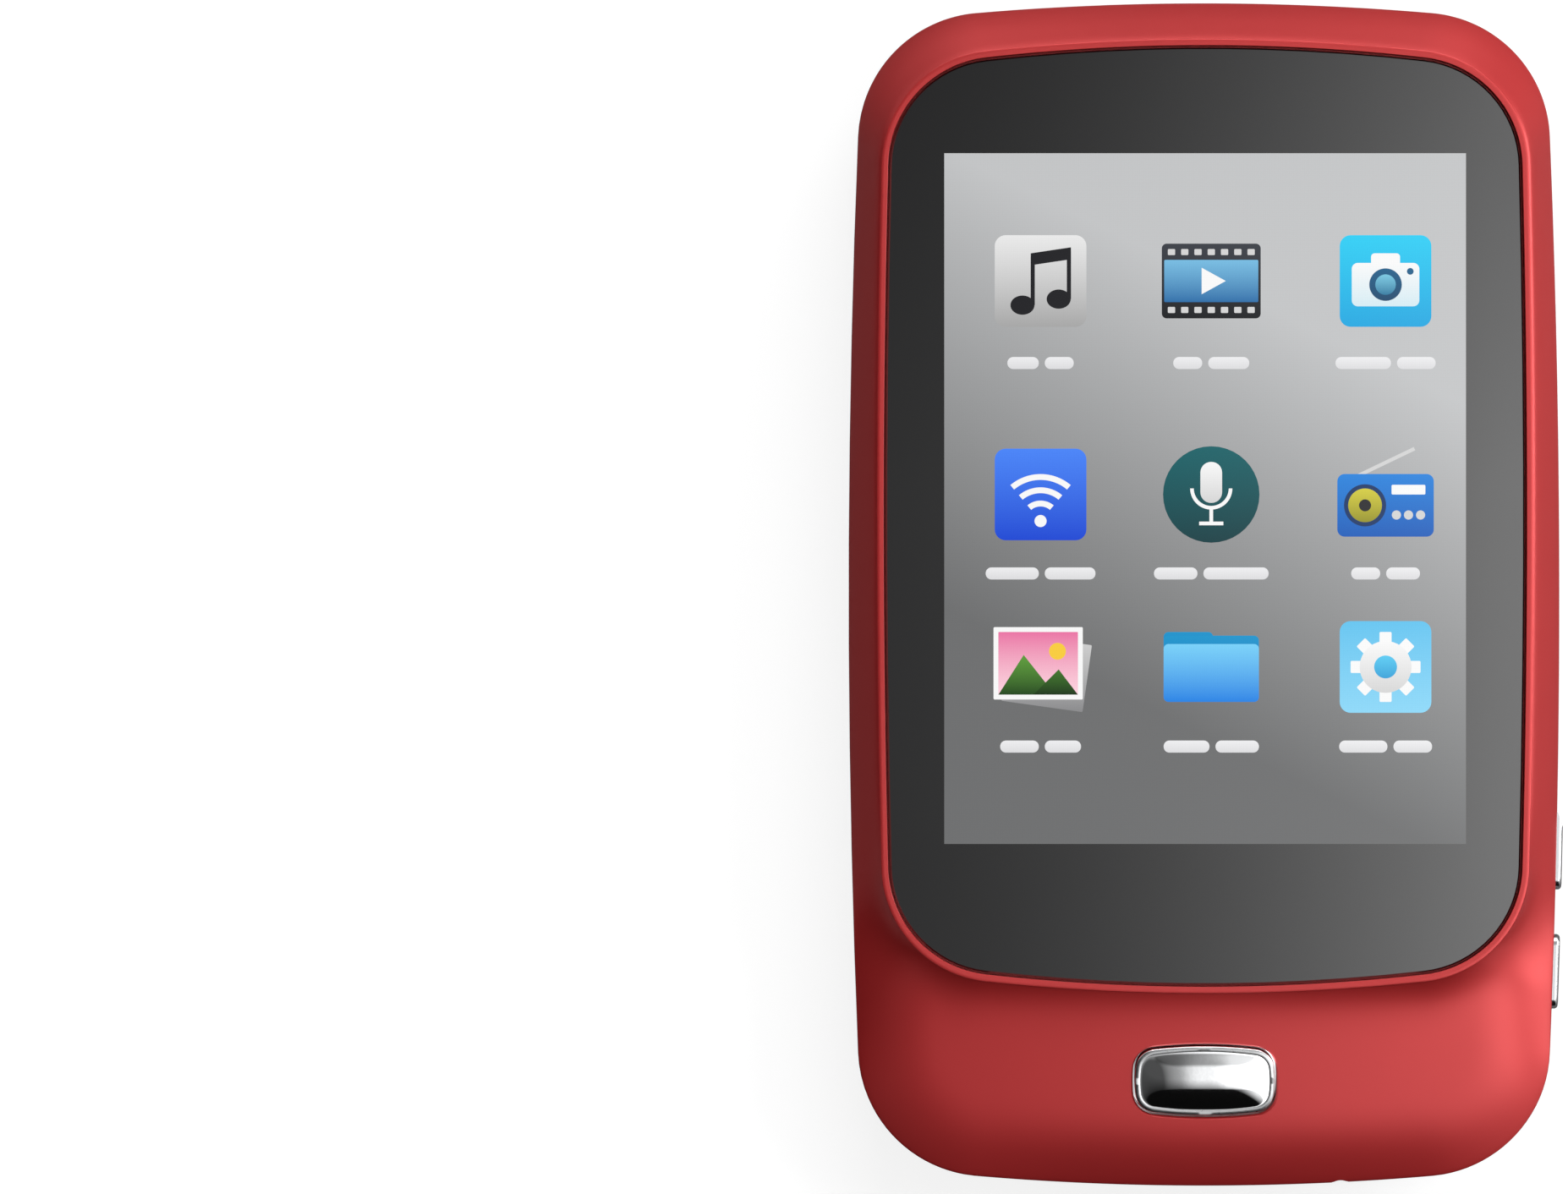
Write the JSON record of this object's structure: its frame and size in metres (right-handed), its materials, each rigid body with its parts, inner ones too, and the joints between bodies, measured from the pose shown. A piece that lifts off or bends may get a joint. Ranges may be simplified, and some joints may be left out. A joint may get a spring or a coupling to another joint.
{
  "type": "digital audio player",
  "caption": "Pocket digital audio player: bowed red front housing with a glossy touch panel and sloping chin, black rounded back cover, home button, side volume keys, headphone and USB sockets.",
  "frame": {"origin": "middle of the flat back face", "axes": "+X to the right side with the volume keys, +Y to the top end, +Z out of the screen"},
  "size_m": [0.0593, 0.0982, 0.0108],
  "materials": {
    "painted_red": "satin soft-touch paint",
    "cover_black": "satin",
    "panel_glass": "gloss",
    "chrome": "polished",
    "key_metal": "satin plated",
    "dark_chrome": "dark plated",
    "clear_window": "gloss",
    "steel_mesh": "woven",
    "black_steel": "black oxide",
    "steel": "brushed",
    "adhesive": "matt",
    "foam": "foam",
    "display_glass": "gloss",
    "white_plastic": "matt",
    "flex_film": "satin",
    "circuit_board": "solder mask",
    "chip_black": "matt",
    "ceramic": "matt",
    "connector_plastic": "matt",
    "socket_black": "satin",
    "gold": "polished",
    "rubber_black": "matt",
    "battery_foil": "foil",
    "wire_red": "satin",
    "speaker_black": "matt",
    "camera_black": "matt",
    "switch_black": "matt",
    "switch_stem": "matt"
  },
  "bodies": {
    "casing": {"audio_chip": "chip_black", "back_cover": "cover_black", "battery": "battery_foil", "battery_connector": "connector_plastic", "battery_leads": "wire_red", "battery_tape": "adhesive", "board_screws": "steel", "camera_flex": "flex_film", "camera_module": "camera_black", "camera_ring": "dark_chrome", "camera_window": "clear_window", "capacitors": "ceramic", "case_screws": "black_steel", "chip_antenna": "ceramic", "crystal": "steel", "display_backlight": "white_plastic", "display_flex": "flex_film", "display_gasket": "foam", "display_panel": "display_glass", "flash_memory": "chip_black", "flex_connectors": "connector_plastic", "front_housing": "painted_red", "headphone_jack": "socket_black", "home_switch": "switch_black", "jack_contacts": "gold", "main_board": "circuit_board", "memory_chip": "chip_black", "microphone": "steel", "microphone_boot": "rubber_black", "power_chip": "chip_black", "power_inductors": "chip_black", "processor": "chip_black", "radio_can": "steel", "side_trim": "dark_chrome", "speaker": "speaker_black", "speaker_gasket": "foam", "speaker_leads": "wire_red", "speaker_mesh": "steel_mesh", "touch_adhesive": "adhesive", "touch_flex": "flex_film", "touch_panel": "panel_glass", "usb_shell": "steel", "usb_tongue": "socket_black", "volume_down_switch": "switch_black", "volume_up_switch": "switch_black"},
    "home_key": {"home_button": "chrome"},
    "home_switch_plunger": {"home_plunger": "switch_stem"},
    "volume_up_key": {"volume_up_button": "key_metal"},
    "volume_up_switch_plunger": {"volume_up_plunger": "switch_stem"},
    "volume_down_key": {"volume_down_button": "key_metal"},
    "volume_down_switch_plunger": {"volume_down_plunger": "switch_stem"}
  },
  "joints": [
    {"name": "home_press", "type": "slide", "parent": "casing", "child": "home_key", "axis": [0, 0.1392, -0.9903], "range_m": [0, 0.0003]},
    {"name": "home_switch_press", "type": "slide", "parent": "casing", "child": "home_switch_plunger", "axis": [0, 0, -1], "range_m": [0, 0.0003]},
    {"name": "volume_up_press", "type": "slide", "parent": "casing", "child": "volume_up_key", "axis": [-1, 0, 0], "range_m": [0, 0.0003]},
    {"name": "volume_up_switch_press", "type": "slide", "parent": "casing", "child": "volume_up_switch_plunger", "axis": [-1, 0, 0], "range_m": [0, 0.0003]},
    {"name": "volume_down_press", "type": "slide", "parent": "casing", "child": "volume_down_key", "axis": [-1, 0, 0], "range_m": [0, 0.0003]},
    {"name": "volume_down_switch_press", "type": "slide", "parent": "casing", "child": "volume_down_switch_plunger", "axis": [-1, 0, 0], "range_m": [0, 0.0003]}
  ],
  "couplings": [
    {"joint": "home_switch_press", "follows": "home_press", "ratio": 0.99},
    {"joint": "volume_up_switch_press", "follows": "volume_up_press", "ratio": 1},
    {"joint": "volume_down_switch_press", "follows": "volume_down_press", "ratio": 1}
  ]
}
